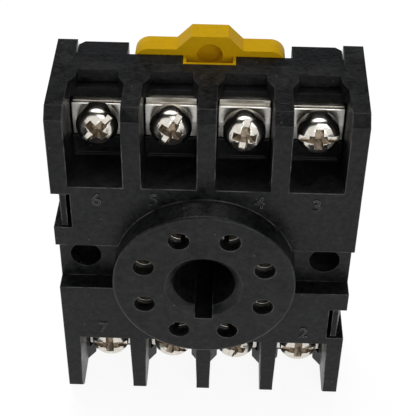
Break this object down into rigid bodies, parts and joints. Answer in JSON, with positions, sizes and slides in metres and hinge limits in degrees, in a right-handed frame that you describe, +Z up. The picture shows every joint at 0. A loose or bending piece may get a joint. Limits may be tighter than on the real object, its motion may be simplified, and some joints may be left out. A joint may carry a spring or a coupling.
{
  "type": "relay socket",
  "caption": "Black socket for a plug-in relay with a round pin boss, screw terminals in bays at both ends, and a yellow spring clip for a mounting rail.",
  "frame": {"origin": "middle of the bounding box at the lower end", "axes": "+X to the right seen from the face, -Y out of the face towards the relay, +Z up towards the yellow clip"},
  "size_m": [0.0408, 0.0208, 0.0538],
  "materials": {
    "black_plastic": "moulded, fine grain",
    "yellow_plastic": "moulded, satin",
    "nickel": "nickel-plated steel",
    "contact_metal": "tin-plated copper alloy",
    "spring_steel": "drawn wire"
  },
  "bodies": {
    "socket": {"front_housing": "black_plastic", "rear_base": "black_plastic", "clip_spring": "spring_steel", "contact_1": "contact_metal", "contact_2": "contact_metal", "contact_3": "contact_metal", "contact_4": "contact_metal", "contact_5": "contact_metal", "contact_6": "contact_metal", "contact_7": "contact_metal", "contact_8": "contact_metal"},
    "clip": {"rail_clip": "yellow_plastic"},
    "plate_1": {"clamp_1": "nickel"},
    "driver_1": {"screw_1": "nickel"},
    "plate_2": {"clamp_2": "nickel"},
    "driver_2": {"screw_2": "nickel"},
    "plate_3": {"clamp_3": "nickel"},
    "driver_3": {"screw_3": "nickel"},
    "plate_4": {"clamp_4": "nickel"},
    "driver_4": {"screw_4": "nickel"},
    "plate_5": {"clamp_5": "nickel"},
    "driver_5": {"screw_5": "nickel"},
    "plate_6": {"clamp_6": "nickel"},
    "driver_6": {"screw_6": "nickel"},
    "plate_7": {"clamp_7": "nickel"},
    "driver_7": {"screw_7": "nickel"},
    "plate_8": {"clamp_8": "nickel"},
    "driver_8": {"screw_8": "nickel"}
  },
  "joints": [
    {"name": "clip_release", "type": "slide", "parent": "socket", "child": "clip", "axis": [0, 0, 1], "range_m": [0, 0.003], "stiffness_N_per_m": 1200, "springref_m": -0.003, "deforming": ["clip_spring"]},
    {"name": "plate_1_lift", "type": "slide", "parent": "socket", "child": "plate_1", "axis": [0, -1, 0], "range_m": [0, 0.0018]},
    {"name": "screw_1_turn", "type": "hinge", "parent": "plate_1", "child": "driver_1", "pos_m": [0.00475, -0.0001, 0.0057], "axis": [0, -1, 0], "range_deg": [0, 1080]},
    {"name": "plate_2_lift", "type": "slide", "parent": "socket", "child": "plate_2", "axis": [0, -1, 0], "range_m": [0, 0.0018]},
    {"name": "screw_2_turn", "type": "hinge", "parent": "plate_2", "child": "driver_2", "pos_m": [0.01425, -0.0001, 0.0057], "axis": [0, -1, 0], "range_deg": [0, 1080]},
    {"name": "plate_3_lift", "type": "slide", "parent": "socket", "child": "plate_3", "axis": [0, -1, 0], "range_m": [0, 0.0018]},
    {"name": "screw_3_turn", "type": "hinge", "parent": "plate_3", "child": "driver_3", "pos_m": [0.01425, -0.0001, 0.0453], "axis": [0, -1, 0], "range_deg": [0, 1080]},
    {"name": "plate_4_lift", "type": "slide", "parent": "socket", "child": "plate_4", "axis": [0, -1, 0], "range_m": [0, 0.0018]},
    {"name": "screw_4_turn", "type": "hinge", "parent": "plate_4", "child": "driver_4", "pos_m": [0.00475, -0.0001, 0.0453], "axis": [0, -1, 0], "range_deg": [0, 1080]},
    {"name": "plate_5_lift", "type": "slide", "parent": "socket", "child": "plate_5", "axis": [0, -1, 0], "range_m": [0, 0.0018]},
    {"name": "screw_5_turn", "type": "hinge", "parent": "plate_5", "child": "driver_5", "pos_m": [-0.00475, -0.0001, 0.0453], "axis": [0, -1, 0], "range_deg": [0, 1080]},
    {"name": "plate_6_lift", "type": "slide", "parent": "socket", "child": "plate_6", "axis": [0, -1, 0], "range_m": [0, 0.0018]},
    {"name": "screw_6_turn", "type": "hinge", "parent": "plate_6", "child": "driver_6", "pos_m": [-0.01425, -0.0001, 0.0453], "axis": [0, -1, 0], "range_deg": [0, 1080]},
    {"name": "plate_7_lift", "type": "slide", "parent": "socket", "child": "plate_7", "axis": [0, -1, 0], "range_m": [0, 0.0018]},
    {"name": "screw_7_turn", "type": "hinge", "parent": "plate_7", "child": "driver_7", "pos_m": [-0.01425, -0.0001, 0.0057], "axis": [0, -1, 0], "range_deg": [0, 1080]},
    {"name": "plate_8_lift", "type": "slide", "parent": "socket", "child": "plate_8", "axis": [0, -1, 0], "range_m": [0, 0.0018]},
    {"name": "screw_8_turn", "type": "hinge", "parent": "plate_8", "child": "driver_8", "pos_m": [-0.00475, -0.0001, 0.0057], "axis": [0, -1, 0], "range_deg": [0, 1080]}
  ],
  "couplings": [
    {"joint": "screw_1_turn", "follows": "plate_1_lift", "rad_per_m": 10472},
    {"joint": "screw_2_turn", "follows": "plate_2_lift", "rad_per_m": 10472},
    {"joint": "screw_3_turn", "follows": "plate_3_lift", "rad_per_m": 10472},
    {"joint": "screw_4_turn", "follows": "plate_4_lift", "rad_per_m": 10472},
    {"joint": "screw_5_turn", "follows": "plate_5_lift", "rad_per_m": 10472},
    {"joint": "screw_6_turn", "follows": "plate_6_lift", "rad_per_m": 10472},
    {"joint": "screw_7_turn", "follows": "plate_7_lift", "rad_per_m": 10472},
    {"joint": "screw_8_turn", "follows": "plate_8_lift", "rad_per_m": 10472}
  ]
}
